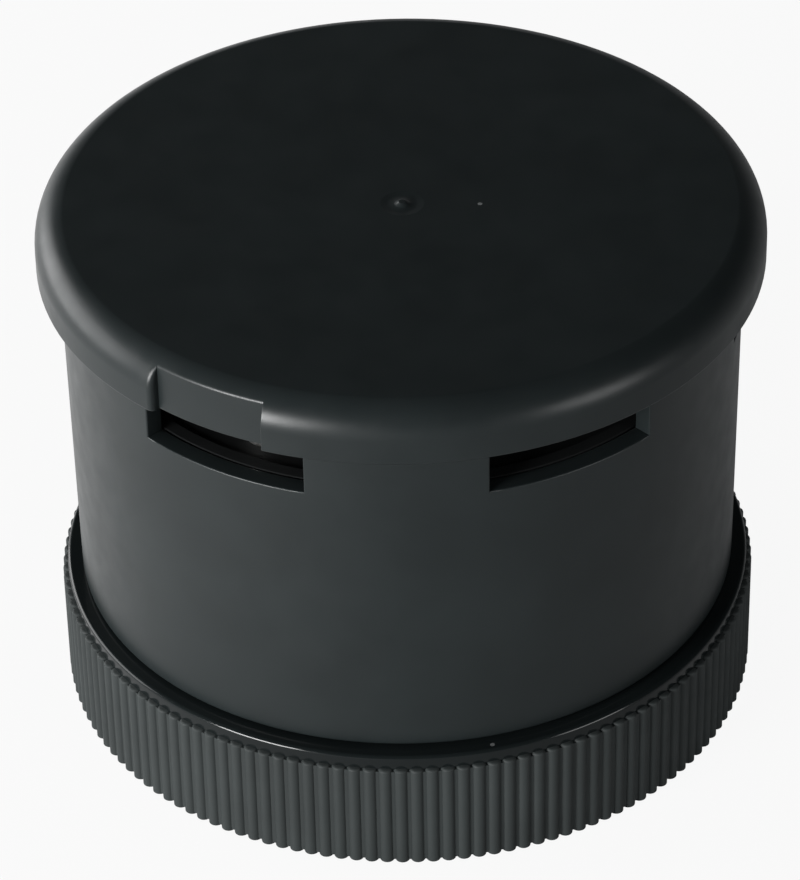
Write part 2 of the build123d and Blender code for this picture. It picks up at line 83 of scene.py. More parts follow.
def block(r_low, r_high, z_low, z_high):
    return [(r_low, z_low), (r_high, z_low), (r_high, z_high), (r_low, z_high)]


def about(centre, half):
    return (centre - half, centre + half)


def within(azimuth, spans):
    return any((azimuth - start) % 360 < stop - start for start, stop in spans)


def swept(cells, stops=(), step=2.5):
    """Joins (outline, where, not_where) cells swept about the axis into one closed shell.

    An outline goes round in (radius, height), and two cells that meet share whole edges. The
    sweep starts afresh where a cell begins or ends, and at the further stops.
    """
    bm = bmesh.new()
    ends = {round(e % 360, 4) for _, where, bare in cells for s in (*where, *bare) for e in s}
    ends = sorted(ends | {round(s % 360, 4) for s in stops}) or [0.0, 180.0]
    for start, stop in zip(ends, ends[1:] + [ends[0] + 360]):
        middle = (start + stop) / 2
        for outline, where, bare in cells:
            if (where and not within(middle, where)) or within(middle, bare):
                continue
            face = bm.faces.new([bm.verts.new(at(r, start, z)) for r, z in outline])
            bmesh.ops.spin(
                bm, geom=[face, *face.edges, *face.verts], cent=(0, 0, 0), axis=(0, 0, 1),
                angle=radians(stop - start), steps=ceil((stop - start) / step),
            )
    drop_shared_faces(bm)
    return bm


NEAR = 0.002 * MM
SAME = 0.01


def drop_shared_faces(bm):
    """Deletes each pair of faces that lie on each other, then merges what is left."""
    faces = list(bm.faces)
    tree = kdtree.KDTree(len(faces))
    for k, face in enumerate(faces):
        tree.insert(face.calc_center_median(), k)
    tree.balance()
    shared = [f for f in faces if len(tree.find_range(f.calc_center_median(), NEAR)) > 1]
    bmesh.ops.delete(bm, geom=shared, context="FACES")
    bmesh.ops.remove_doubles(bm, verts=bm.verts, dist=NEAR)
    slivers = [f for f in bm.faces if f.calc_area() < NEAR * NEAR]
    bmesh.ops.delete(bm, geom=slivers, context="FACES")
    bmesh.ops.recalc_face_normals(bm, faces=bm.faces)


def round_edges(bm, width, chosen, segments=3, sharper_than=35):
    """Rounds the outward edges whose two ends, given in millimetres, are chosen."""
    edges = [
        edge
        for edge in bm.edges
        if edge.is_manifold
        and edge.calc_face_angle_signed() > radians(sharper_than)
        and chosen(*[v.co / MM for v in edge.verts])
    ]
    bmesh.ops.bevel(
        bm, geom=edges, offset=width * MM, offset_type="OFFSET", segments=segments,
        profile=0.5, affect="EDGES", clamp_overlap=True, material=-1,
    )


def turned_about(bm, outline, radius, azimuth, steps):
    """Turns an open (radius, height) outline all round an upright axis of its own."""
    centre = at(radius, azimuth)
    verts = [bm.verts.new(centre + Vector((r, 0, z)) * MM) for r, z in outline]
    edges = [bm.edges.new(pair) for pair in zip(verts, verts[1:])]
    bmesh.ops.spin(
        bm, geom=verts + edges, cent=centre, axis=(0, 0, 1), angle=2 * pi, steps=steps,
        use_merge=True,
    )


def piece(bm, name, body, materials, replaced):
    """Makes the finished mesh an object of the model, with soft shading on its large faces."""
    mesh = bpy.data.meshes.new(name)
    bm.to_mesh(mesh)
    bm.free()
    mesh.polygons.foreach_set("use_smooth", [True] * len(mesh.polygons))
    mesh.set_sharp_from_angle(angle=radians(40))
    for material in materials:
        mesh.materials.append(material)
    made = bpy.data.objects.new(name, mesh)
    scene.collection.objects.link(made)
    shading = made.modifiers.new("even shading", "WEIGHTED_NORMAL")
    shading.keep_sharp = True
    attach(made, body)
    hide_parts(replaced)


def fed(tree, socket, value):
    """Feeds a socket from another node's output, or sets it to a plain value."""
    if isinstance(value, bpy.types.NodeSocket):
        tree.links.new(value, socket)
    else:
        socket.default_value = value


def add(tree, kind, **inputs):
    made = tree.nodes.new("ShaderNode" + kind)
    for name, value in inputs.items():
        fed(tree, made.inputs[name.replace("_", " ")], value)
    return made


def maths(tree, operation, *values):
    made = tree.nodes.new("ShaderNodeMath")
    made.operation = operation
    for socket, value in zip(made.inputs, values):
        fed(tree, socket, value)
    return made.outputs[0]


def blend(tree, share, first, second):
    """Mixes two colours, through the colour sockets of a node that also mixes other kinds."""
    made = tree.nodes.new("ShaderNodeMix")
    made.data_type = "RGBA"
    for index, value in ((0, share), (6, first), (7, second)):
        fed(tree, made.inputs[index], value)
    return made.outputs[2]


def place_of(tree):
    return tree.nodes.new("ShaderNodeTexCoord").outputs["Object"]


def noise(tree, size, detail=2.0):
    """Soft noise whose blotches are about so many millimetres across."""
    made = add(tree, "TexNoise", Vector=place_of(tree), Scale=1 / (size * MM), Detail=detail)
    return made.outputs["Fac"]


def spread(tree, value, low, high, to_low, to_high):
    made = add(
        tree, "MapRange", Value=value, From_Min=low, From_Max=high, To_Min=to_low, To_Max=to_high
    )
    return made.outputs[0]


def rgba(colour):
    return (*colour, 1.0)


def effect(name, inputs, outputs):
    """A new shader node group with named sockets of the kinds given, and its two ends."""
    tree = bpy.data.node_groups.new(name, "ShaderNodeTree")
    for direction, sockets in (("INPUT", inputs), ("OUTPUT", outputs)):
        for label, kind in sockets.items():
            tree.interface.new_socket(
                name=label, in_out=direction, socket_type=f"NodeSocket{kind}"
            )
    return tree, tree.nodes.new("NodeGroupInput"), tree.nodes.new("NodeGroupOutput")


def moulded_skin_effect():
    """Spark-eroded mould skin: a fine grain, faint cloudiness and a few specks of dust."""
    tree, given, out = effect(
        "moulded_skin",
        {
            "Colour": "Color",
            "Cloud": "Color",
            "Dust": "Color",
            "Roughness": "Float",
            "Grain": "Float",
        },
        {"Colour": "Color", "Roughness": "Float", "Height": "Float"},
    )
    cloud = spread(tree, noise(tree, 9.0, detail=3.0), 0.35, 0.65, 0.0, 1.0)
    tinted = blend(tree, cloud, given.outputs["Colour"], given.outputs["Cloud"])
    cells = add(tree, "TexVoronoi", Vector=place_of(tree), Scale=1 / (8.0 * MM))
    drawn = add(tree, "SeparateColor", Color=cells.outputs["Color"])
    chosen = maths(tree, "GREATER_THAN", drawn.outputs[0], 0.9)
    size = spread(tree, drawn.outputs[1], 0.0, 1.0, 0.012, 0.032)
    close = maths(tree, "LESS_THAN", cells.outputs["Distance"], size)
    speck = maths(tree, "MULTIPLY", chosen, close)
    dusty = blend(tree, maths(tree, "MULTIPLY", speck, 0.3), tinted, given.outputs["Dust"])
    fine = add(tree, "TexNoise", Vector=place_of(tree), Scale=given.outputs["Grain"], Detail=2.0)
    rubbed = spread(tree, noise(tree, 2.5, detail=4.0), 0.3, 0.7, 0.9, 1.1)
    rough = maths(tree, "MULTIPLY", given.outputs["Roughness"], rubbed)
    rough = maths(tree, "ADD", rough, maths(tree, "MULTIPLY", speck, 0.3))
    tree.links.new(dusty, out.inputs["Colour"])
    tree.links.new(rough, out.inputs["Roughness"])
    tree.links.new(fine.outputs["Fac"], out.inputs["Height"])
    return tree


def new_material(name):
    material = bpy.data.materials.new(name)
    material.use_nodes = True
    return material, material.node_tree, material.node_tree.nodes["Principled BSDF"]


def bumped(tree, shader, height, depth):
    """Raises the surface by so many millimetres where the height is 1."""
    bump = add(tree, "Bump", Strength=1.0, Distance=depth * MM, Height=height)
    tree.links.new(bump.outputs["Normal"], shader.inputs["Normal"])


moulded_skin = moulded_skin_effect()
BLACK = (0.0085, 0.0112, 0.0116)
DUST = (0.32, 0.33, 0.33)
CLOUD_SHARE = 1.18


def plastic(name, colour, roughness, specular, depth, grain=0.12):
    """Black moulded plastic with the mould's skin on it."""
    material, tree, shader = new_material(name)
    skin = tree.nodes.new("ShaderNodeGroup")
    skin.node_tree = moulded_skin
    skin.inputs["Colour"].default_value = rgba(colour)
    skin.inputs["Cloud"].default_value = rgba([c * CLOUD_SHARE for c in colour])
    skin.inputs["Dust"].default_value = rgba(DUST)
    skin.inputs["Roughness"].default_value = roughness
    skin.inputs["Grain"].default_value = 1 / (grain * MM)
    tree.links.new(skin.outputs["Colour"], shader.inputs["Base Color"])
    tree.links.new(skin.outputs["Roughness"], shader.inputs["Roughness"])
    bumped(tree, shader, skin.outputs["Height"], depth)
    shader.inputs["Specular IOR Level"].default_value = specular
    return material


shell_plastic = plastic("shell_plastic", BLACK, roughness=0.35, specular=0.27, depth=0.004)

hook_foot, pip_top, rim_r = box_of("cap")
PIP_STAND = 0.2
PLATE_THICKNESS = 2.4
RIM_HEIGHT = 5.65
PLATE_TOP = pip_top - PIP_STAND
PLATE_FOOT = PLATE_TOP - PLATE_THICKNESS
RIM_FOOT = PLATE_TOP - RIM_HEIGHT
ROLL_R = 3.2
RIM_EDGE_R = 0.3
RIM_BORE_R = 33.0
SPIGOT_R = (29.4, 30.9)
SPIGOT_FOOT = 48.4
TONGUE_R = 32.85
HOOK_R = (29.6, 30.7)
BARB_R = 31.6
BARB_Z = (hook_foot + 0.8, hook_foot + 1.3)
FIRST_SLOT = -31.5
SLOTS = [about(FIRST_SLOT + 60 * k, 15) for k in range(6)]
SNAPS = [about(-1.5 + 120 * k, 8) for k in range(3)]
NOTCH = [about(FIRST_SLOT, 9.7)]
NOTCH_R = 34.0
NOTCH_END_R = (0.6, 0.1)

roll_centre = (rim_r - ROLL_R, PLATE_TOP - ROLL_R)
roll_reach = NOTCH_R - roll_centre[0]
notch_cut = degrees(atan2(sqrt(ROLL_R**2 - roll_reach**2), roll_reach))
bridge_foot = RIM_FOOT + RIM_EDGE_R
notch_top = arc(roll_centre, ROLL_R, notch_cut, 90, 8)
cap_plate = [
    (0, PLATE_FOOT),
    (SPIGOT_R[0], PLATE_FOOT),
    (SPIGOT_R[1], PLATE_FOOT),
    (roll_centre[0], PLATE_FOOT),
    (roll_centre[0], PLATE_TOP),
    (0, PLATE_TOP),
]
spigot = [
    (SPIGOT_R[0], SPIGOT_FOOT),
    (HOOK_R[0], SPIGOT_FOOT),
    (HOOK_R[1], SPIGOT_FOOT),
    (SPIGOT_R[1], SPIGOT_FOOT),
    (SPIGOT_R[1], PLATE_FOOT),
    (SPIGOT_R[0], PLATE_FOOT),
]
tongue = [
    (SPIGOT_R[1], SPIGOT_FOOT),
    (TONGUE_R, SPIGOT_FOOT),
    (TONGUE_R, bridge_foot),
    (TONGUE_R, PLATE_FOOT),
    (roll_centre[0], PLATE_FOOT),
    (SPIGOT_R[1], PLATE_FOOT),
]
rim_inside = [
    (RIM_BORE_R, RIM_FOOT),
    (NOTCH_R, RIM_FOOT),
    *notch_top,
    (roll_centre[0], PLATE_FOOT),
    (TONGUE_R, PLATE_FOOT),
    (RIM_BORE_R, PLATE_FOOT),
    (RIM_BORE_R, bridge_foot),
]
rim_outside = [
    (NOTCH_R, RIM_FOOT),
    *arc((rim_r - RIM_EDGE_R, RIM_FOOT + RIM_EDGE_R), RIM_EDGE_R, -90, 0, 4),
    *arc(roll_centre, ROLL_R, 0, notch_cut, 7),
]
hook = [
    (HOOK_R[0], hook_foot),
    (HOOK_R[1], hook_foot),
    (BARB_R, BARB_Z[0]),
    (BARB_R, BARB_Z[1]),
    (HOOK_R[1], BARB_Z[1]),
    (HOOK_R[1], SPIGOT_FOOT),
    (HOOK_R[0], SPIGOT_FOOT),
]
END_STEPS = 6
end_arcs = [degrees(radius / rim_r) for radius in NOTCH_END_R]
notch_stops = [NOTCH[0][0] - end_arcs[0] * k / END_STEPS for k in range(END_STEPS + 1)]
notch_stops += [NOTCH[0][1] + end_arcs[1] * k / END_STEPS for k in range(END_STEPS + 1)]
bm = swept(
    [
        (cap_plate, (), ()),
        (spigot, (), ()),
        (tongue, SLOTS, ()),
        (block(TONGUE_R, RIM_BORE_R, bridge_foot, PLATE_FOOT), SLOTS, ()),
        (rim_inside, (), ()),
        (rim_outside, (), NOTCH),
        (hook, SNAPS, ()),
    ],
    notch_stops,
)


def round_notch_end(bm, past, end_arc, end_r):
    """Rounds the rim's upright edge at one end of the notch, as a file would."""
    for vert in bm.verts:
        proud = radius_of(vert.co) - NOTCH_R
        beyond = past(azimuth_of(vert.co))
        if proud > 0.001 and -0.01 < beyond < end_arc:
            lost = 1 - sqrt(max(0.0, 1 - (1 - max(beyond, 0.0) / end_arc) ** 2))
            kept = 1 - lost * end_r / (rim_r - NOTCH_R)
            vert.co.xy *= (NOTCH_R + proud * kept) / (NOTCH_R + proud)


round_notch_end(bm, lambda azimuth: NOTCH[0][0] - azimuth, end_arcs[0], NOTCH_END_R[0])
round_notch_end(bm, lambda azimuth: azimuth - NOTCH[0][1], end_arcs[1], NOTCH_END_R[1])


def on_notch_wall(a, b):
    middle = (a + b) / 2 * MM
    return abs(radius_of(middle) - NOTCH_R) < SAME and within(azimuth_of(middle), NOTCH)


NOTCH_ROUND = 0.18
RIM_FOOT_ROUND = 0.12
round_edges(bm, NOTCH_ROUND, on_notch_wall)
round_edges(
    bm, RIM_FOOT_ROUND, lambda a, b: abs(a.z - RIM_FOOT) + abs(b.z - RIM_FOOT) < SAME,
    sharper_than=60,
)

GATE_R, GATE_AZIMUTH = 1.02, 11.3
DIMPLE_R = 1.8
DIMPLE_DEPTH = 0.06
DIMPLE_SLOPE = 0.3
PIP_R = 0.75
PIP_TOP_R = 0.33
PIP_ROUND = 0.06
PIP_ROOT = [(PIP_R + 0.04, 0), (PIP_R - 0.02, 0.03)]
gate_foot = PLATE_TOP - DIMPLE_DEPTH
DIMPLE_STEPS = 8
dimple_angles = [pi * k / DIMPLE_STEPS for k in range(DIMPLE_STEPS + 1)]
gate = [
    *[
        (DIMPLE_R + DIMPLE_SLOPE * cos(a), gate_foot + DIMPLE_DEPTH / 2 * (1 + cos(a)))
        for a in dimple_angles
    ],
    *[(r, gate_foot + rise) for r, rise in PIP_ROOT],
    *arc((PIP_TOP_R, pip_top - PIP_ROUND), PIP_ROUND, 30, 90, 3),
    (0, pip_top),
]


def open_gate(bm):
    """Puts the dimple and its pip in the middle of the plate's flat top."""
    flat = [f for f in bm.faces if f.calc_center_median().z / MM > PLATE_TOP - SAME]
    bmesh.ops.delete(bm, geom=flat, context="FACES")
    around = [e for e in bm.edges if e.is_boundary]
    turned_about(bm, gate, GATE_R, GATE_AZIMUTH, steps=len(around))
    bmesh.ops.remove_doubles(bm, verts=bm.verts, dist=NEAR)
    inner = [e for e in bm.edges if e.is_boundary and e not in around]
    bmesh.ops.bridge_loops(bm, edges=around + inner)
    bmesh.ops.recalc_face_normals(bm, faces=bm.faces)


open_gate(bm)
piece(bm, "cap_shell", "sounder", [shell_plastic], "cap")

# ---------------------------------------------------------------- housing
# The housing is a moulded tube that narrows a little towards its foot. Six slots in its upper edge
# let the sound out, and inside are a ledge, screw posts and the neck that the ring turns on.
neck_foot, pier_top, wall_r = box_of("housing")
BORE_R = 31.0
SLOT_FOOT = 42.7
FOOT_Z = 13.2
FOOT_R = 32.65
FOOT_ROUND = 0.35
POCKET_R = 31.75
POCKET_Z = (45.3, 46.85)
NECK_R = (28.3, 30.3)
LEDGE_R = 28.6
LEDGE_Z = (38.0, 39.4)
FLOOR_TOP = 15.5
POCKETS = [about(-1.5 + 120 * k, 9) for k in range(3)]

wall = [
    (NECK_R[1], neck_foot),
    (NECK_R[1], FOOT_Z),
    *arc((FOOT_R - FOOT_ROUND, FOOT_Z + FOOT_ROUND), FOOT_ROUND, -90, 0, 5),
    (wall_r, SLOT_FOOT),
    (POCKET_R, SLOT_FOOT),
    (BORE_R, SLOT_FOOT),
    (BORE_R, LEDGE_Z[1]),
    (LEDGE_R, LEDGE_Z[1]),
    (LEDGE_R, LEDGE_Z[0]),
    (BORE_R, LEDGE_Z[0] - BORE_R + LEDGE_R),
    (BORE_R, FLOOR_TOP),
    (NECK_R[0], FLOOR_TOP),
    (NECK_R[0], neck_foot),
]
pier_outside = [
    (POCKET_R, SLOT_FOOT),
    (wall_r, SLOT_FOOT),
    (wall_r, pier_top),
    (POCKET_R, pier_top),
    (POCKET_R, POCKET_Z[1]),
    (POCKET_R, POCKET_Z[0]),
]
bm = swept(
    [
        (wall, (), ()),
        (pier_outside, (), SLOTS),
        (block(BORE_R, POCKET_R, SLOT_FOOT, POCKET_Z[0]), (), SLOTS),
        (block(BORE_R, POCKET_R, *POCKET_Z), (), SLOTS + POCKETS),
        (block(BORE_R, POCKET_R, POCKET_Z[1], pier_top), (), SLOTS),
    ]
)


def on_slot(a, b):
    """True on the outward edges of a slot: its two sills, and the upright edges of the piers."""
    level = abs(a.z - b.z) < SAME
    sill = level and abs(a.z - SLOT_FOOT) < SAME
    upright = not level and min(a.z, b.z) > SLOT_FOOT - SAME and max(a.z, b.z) < pier_top + SAME
    return sill or upright


SLOT_ROUND = 0.16
round_edges(bm, SLOT_ROUND, on_slot)

POST_PITCH_R = 25.8
BOSS_PITCH_R = 25.4
POST_AZIMUTHS = (30, 150, 270)
BOSS_AZIMUTHS = (90, 210, 330)
POST_R = 3
POST_TOP = 22
BOSS_R = 2.8
BOSS_Z = (30.4, 40.4)
BLIND_FOOT = 32.4
SCREW_R = 1
POST_WEB_Z = (15.0, 21.5)
BOSS_WEB_Z = (30.4, 39.4)
WEB_SIZE = (1.6, 4.7)
WEB_R = 29.15
post = [*block(SCREW_R, POST_R, neck_foot, POST_TOP), (SCREW_R, neck_foot)]
boss = [
    (0, BOSS_Z[0]),
    (BOSS_R, BOSS_Z[0]),
    (BOSS_R, BOSS_Z[1]),
    (SCREW_R, BOSS_Z[1]),
    (SCREW_R, BLIND_FOOT),
    (0, BLIND_FOOT),
]
inside = bmesh.new()
for azimuth in POST_AZIMUTHS:
    turned_about(inside, post, POST_PITCH_R, azimuth, steps=32)
for azimuth in BOSS_AZIMUTHS:
    turned_about(inside, boss, BOSS_PITCH_R, azimuth, steps=32)
for azimuths, (foot, top) in ((POST_AZIMUTHS, POST_WEB_Z), (BOSS_AZIMUTHS, BOSS_WEB_Z)):
    for azimuth in azimuths:
        place = Matrix.Translation(at(WEB_R, azimuth, (foot + top) / 2))
        size = Matrix.Diagonal((WEB_SIZE[0] * MM, WEB_SIZE[1] * MM, (top - foot) * MM, 1))
        turn = Matrix.Rotation(radians(azimuth), 4, "Z")
        bmesh.ops.create_cube(inside, size=1.0, matrix=place @ turn @ size)
bmesh.ops.remove_doubles(inside, verts=inside.verts, dist=NEAR)
bmesh.ops.recalc_face_normals(inside, faces=inside.faces)


def take_in(bm, other):
    """Adds another bmesh to this one, and frees it."""
    mesh = bpy.data.meshes.new("part")
    other.to_mesh(mesh)
    other.free()
    bm.from_mesh(mesh)
    bpy.data.meshes.remove(mesh)


take_in(bm, inside)
piece(bm, "housing_shell", "sounder", [shell_plastic], "housing")

# ---------------------------------------------------------------- coupling ring
# The coupling ring turns on the housing's neck and locks onto the lugs of the light below. Ribs
# all round give the fingers a grip, and the collar above their rounded tops is polished.
ring_foot, ring_top, _ = box_of("coupling_ring")
COLLAR_R = 34.15
COLLAR_ROUND = 0.4
FOOT_CHAMFER = 0.3
SOCKET_R = 31.6
MOUTH_CHAMFER = 0.4
CAVITY_R = 32.0
GROOVE_R = 32.9
STOP_R = 33.0
LIP_R = 30.4
SOCKET_TOP = 5.8
LIP_FOOT = 9.6
GROOVE_Z = (2.2, 4.2)
CHANNELS = [about(20 + 120 * k, 4) for k in range(3)]
GROOVES = [(16 + 120 * k, 42 + 120 * k) for k in range(3)]
STOP = [(16.5, 41.5)]
RIB_COUNT = 144
FIRST_RIB = 0.8
RIB_R = 0.7
RIB_CREST_R = 34.7
ROOT_R = 34.4
ROOT_TOP = 11.3
RIB_TOP = 11.55
RIB_TOP_ROUND = 0.25
RIB_FOOT = 0.1
RIB_BACK_R = 34.0
RING_BLACK = (0.016, 0.0195, 0.0195)
# Painted shade: the collar's black is darker than the ribs' plastic of the same ring, standing in
# for the dark room that its polished band reflects.
COLLAR_PAINTED_DARK = (0.005, 0.0065, 0.0067)
COLLAR_PAINTED_DARK_MATERIAL = 1
HALF_RIB_STEP = 1.25

ring_body = [
    (GROOVE_R, ring_foot),
    (ROOT_R - FOOT_CHAMFER, ring_foot),
    (ROOT_R, ring_foot + FOOT_CHAMFER),
    (ROOT_R, ROOT_TOP),
    (COLLAR_R, ROOT_TOP),
    *arc((COLLAR_R - COLLAR_ROUND, ring_top - COLLAR_ROUND), COLLAR_ROUND, 0, 90, 8),
    (LIP_R, ring_top),
    (LIP_R, LIP_FOOT),
    (CAVITY_R, LIP_FOOT),
    (GROOVE_R, LIP_FOOT),
    (STOP_R, LIP_FOOT),
    (STOP_R, SOCKET_TOP),
    (GROOVE_R, SOCKET_TOP),
    (GROOVE_R, GROOVE_Z[1]),
    (GROOVE_R, GROOVE_Z[0]),
]
mouth = [
    (CAVITY_R, ring_foot),
    (CAVITY_R, GROOVE_Z[0]),
    (SOCKET_R, GROOVE_Z[0]),
    (SOCKET_R, MOUTH_CHAMFER),
]
bm = swept(
    [
        (ring_body, (), ()),
        (mouth, (), CHANNELS),
        (block(SOCKET_R, CAVITY_R, *GROOVE_Z), (), CHANNELS + GROOVES),
        (block(SOCKET_R, CAVITY_R, GROOVE_Z[1], SOCKET_TOP), (), CHANNELS),
        (block(CAVITY_R, GROOVE_R, ring_foot, GROOVE_Z[0]), (), CHANNELS),
        (block(CAVITY_R, GROOVE_R, *GROOVE_Z), (), CHANNELS + GROOVES),
        (block(CAVITY_R, GROOVE_R, GROOVE_Z[1], SOCKET_TOP), (), CHANNELS),
        (block(CAVITY_R, GROOVE_R, SOCKET_TOP, LIP_FOOT), (), CHANNELS + STOP),
        (block(GROOVE_R, STOP_R, SOCKET_TOP, LIP_FOOT), (), STOP),
    ],
    step=HALF_RIB_STEP,
)
# The collar's faces get the material whose colour is painted dark.
for face in bm.faces:
    middle = face.calc_center_median()
    if middle.z / MM > ROOT_TOP and LIP_R + 0.1 < radius_of(middle) < COLLAR_R:
        face.material_index = COLLAR_PAINTED_DARK_MATERIAL

rib = [
    (0, RIB_FOOT),
    (RIB_R, RIB_FOOT),
    *arc((RIB_R - RIB_TOP_ROUND, RIB_TOP - RIB_TOP_ROUND), RIB_TOP_ROUND, 0, 90, 3),
    (0, RIB_TOP),
]
ribs = bmesh.new()
turned_about(ribs, rib, RIB_CREST_R - RIB_R, FIRST_RIB, steps=24)
bmesh.ops.remove_doubles(ribs, verts=ribs.verts, dist=NEAR)
bmesh.ops.bisect_plane(
    ribs, geom=[*ribs.verts, *ribs.edges, *ribs.faces], plane_co=at(RIB_BACK_R, FIRST_RIB),
    plane_no=at(1, FIRST_RIB), clear_inner=True,
)
bmesh.ops.holes_fill(ribs, edges=[e for e in ribs.edges if e.is_boundary])
bmesh.ops.recalc_face_normals(ribs, faces=ribs.faces)
bmesh.ops.spin(
    ribs, geom=[*ribs.verts, *ribs.edges, *ribs.faces], cent=(0, 0, 0), axis=(0, 0, 1),
    angle=2 * pi * (RIB_COUNT - 1) / RIB_COUNT, steps=RIB_COUNT - 1, use_duplicate=True,
)
take_in(bm, ribs)
ring_plastic = plastic("ring_plastic", RING_BLACK, roughness=0.68, specular=0.28, depth=0.005)
# The collar's polish is real; its darker colour is painted shade.
collar_plastic_painted_dark = plastic(
    "collar_plastic_painted_dark", COLLAR_PAINTED_DARK, roughness=0.14, specular=0.25, depth=0.0004, grain=0.5
)
piece(
    bm, "coupling_ring_shell", "ring", [ring_plastic, collar_plastic_painted_dark],
    "coupling_ring",
)

# ---------------------------------------------------------------- contact carrier
# The carrier is a moulded plate screwed under the housing. It traps the coupling ring, carries the
# six contact pins of the stack and holds a rubber seal in a groove round its face.


SHARP = 40
FLAT = 0.5


def softened(name, material, width):
    """Replaces a CAD node with a copy of its mesh whose outward edges are rounded."""
    bm = bmesh.new()
    bm.from_mesh(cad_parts[name].data)
    bmesh.ops.remove_doubles(bm, verts=bm.verts, dist=NEAR / 2)
    bmesh.ops.dissolve_limit(bm, angle_limit=radians(FLAT), verts=bm.verts, edges=bm.edges)
    round_edges(bm, width, lambda a, b: True, segments=2, sharper_than=SHARP)
    piece(bm, name + "_soft", "sounder", [material], name)


def stretched(tree, size, along, share=12.0):
    """Noise drawn out along one axis: blotches so many millimetres across, and longer that way."""
    shape = [1 / (share if axis == along else 1) for axis in "XYZ"]
    place = add(tree, "Mapping", Vector=place_of(tree), Scale=shape)
    made = add(tree, "TexNoise", Vector=place.outputs[0], Scale=1 / (size * MM), Detail=3.0)
    return made.outputs["Fac"]


def bare_metal_effect():
    """Handled metal: dull blotches of tarnish, and fine marks left by rolling or turning."""
    tree, given, out = effect(
        "bare_metal",
        {"Colour": "Color", "Tarnish": "Color", "Roughness": "Float", "Marks": "Float"},
        {"Colour": "Color", "Roughness": "Float", "Height": "Float"},
    )
    stain = spread(tree, noise(tree, 1.8, detail=4.0), 0.45, 0.75, 0.0, 0.7)
    coloured = blend(tree, stain, given.outputs["Colour"], given.outputs["Tarnish"])
    rough = maths(tree, "ADD", given.outputs["Roughness"], maths(tree, "MULTIPLY", stain, 0.25))
    grain = spread(tree, given.outputs["Marks"], 0.4, 0.6, -0.04, 0.04)
    tree.links.new(coloured, out.inputs["Colour"])
    tree.links.new(maths(tree, "ADD", rough, grain), out.inputs["Roughness"])
    tree.links.new(given.outputs["Marks"], out.inputs["Height"])
    return tree


bare_metal = bare_metal_effect()
MARK_DEPTH = 0.002


def metal(name, colour, tarnish, roughness, marks):
    """Metal whose marks run along one axis: (size, axis) of the drawn-out noise."""
    material, tree, shader = new_material(name)
    handled = tree.nodes.new("ShaderNodeGroup")
    handled.node_tree = bare_metal
    handled.inputs["Colour"].default_value = rgba(colour)
    handled.inputs["Tarnish"].default_value = rgba(tarnish)
    handled.inputs["Roughness"].default_value = roughness
    tree.links.new(stretched(tree, *marks), handled.inputs["Marks"])
    tree.links.new(handled.outputs["Colour"], shader.inputs["Base Color"])
    tree.links.new(handled.outputs["Roughness"], shader.inputs["Roughness"])
    bumped(tree, shader, handled.outputs["Height"], MARK_DEPTH)
    shader.inputs["Metallic"].default_value = 1.0
    return material


def dress(name, material):
    """Gives a CAD node that is kept as it is its material."""
    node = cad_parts[name]
    node.data.materials.clear()
    node.data.materials.append(material)


CARRIER_BLACK = (0.006, 0.0066, 0.0068)
RUBBER_BLACK = (0.012, 0.012, 0.012)
carrier_plastic = plastic(
    "carrier_plastic", CARRIER_BLACK, roughness=0.72, specular=0.12, depth=0.006
)
seal_rubber = plastic(
    "seal_rubber", RUBBER_BLACK, roughness=0.75, specular=0.3, depth=0.01, grain=0.25
)
screw_steel = metal(
    "screw_steel", (0.62, 0.62, 0.6), tarnish=(0.4, 0.4, 0.4), roughness=0.32, marks=(0.25, "Z")
)
contact_brass = metal(
    "contact_brass", (0.75, 0.56, 0.27), tarnish=(0.5, 0.33, 0.14), roughness=0.25,
    marks=(0.2, "X"),
)
softened("contact_carrier", carrier_plastic, width=0.15)
softened("coupling_seal", seal_rubber, width=0.12)
softened("carrier_screws", screw_steel, width=0.06)
for k in range(6):
    softened(f"contact_pin_{k + 1}", contact_brass, width=0.1)

# ---------------------------------------------------------------- circuit board
# The driver board is green laminate screwed to the housing's posts. Its parts are soldered on top:
# a moulded driver chip, bridge, transistor, two capacitors, a coil, a varistor, resistors, diodes.
WEAVE = 0.7
BAND_WIDTH = 0.35
STRIPE_INSET = 1.0
LACQUER = 0.05


def ridges(tree, pitch, axis):
    """Smooth ridges across one axis, so many millimetres apart."""
    made = add(tree, "TexWave", Vector=place_of(tree), Scale=pi / 10 / (pitch * MM))
    made.bands_direction = axis
    return made.outputs["Fac"]


def height_of(tree, axis="Z"):
    """Place along an axis, in millimetres."""
    parts = add(tree, "SeparateXYZ", Vector=place_of(tree))
    return maths(tree, "MULTIPLY", parts.outputs[axis], 1 / MM)


def lacquered(name, colour, second, size, roughness, coat=0.0):
    """Coated part whose colour drifts towards a second one in soft blotches."""
    material, tree, shader = new_material(name)
    drift = spread(tree, noise(tree, size, detail=3.0), 0.35, 0.65, 0.0, 1.0)
    coloured = blend(tree, drift, rgba(colour), rgba(second))
    rubbed = spread(tree, noise(tree, size / 3), 0.3, 0.7, roughness - 0.05, roughness + 0.05)
    tree.links.new(coloured, shader.inputs["Base Color"])
    tree.links.new(rubbed, shader.inputs["Roughness"])
    shader.inputs["Coat Weight"].default_value = coat
    return material, tree, shader, coloured


def marked(tree, shader, coloured, mask, mark):
    """Paints a mark over a part's colour where the mask is 1."""
    tree.links.new(blend(tree, mask, coloured, rgba(mark)), shader.inputs["Base Color"])


def near(tree, value, centre, half):
    return maths(tree, "COMPARE", value, centre, half)


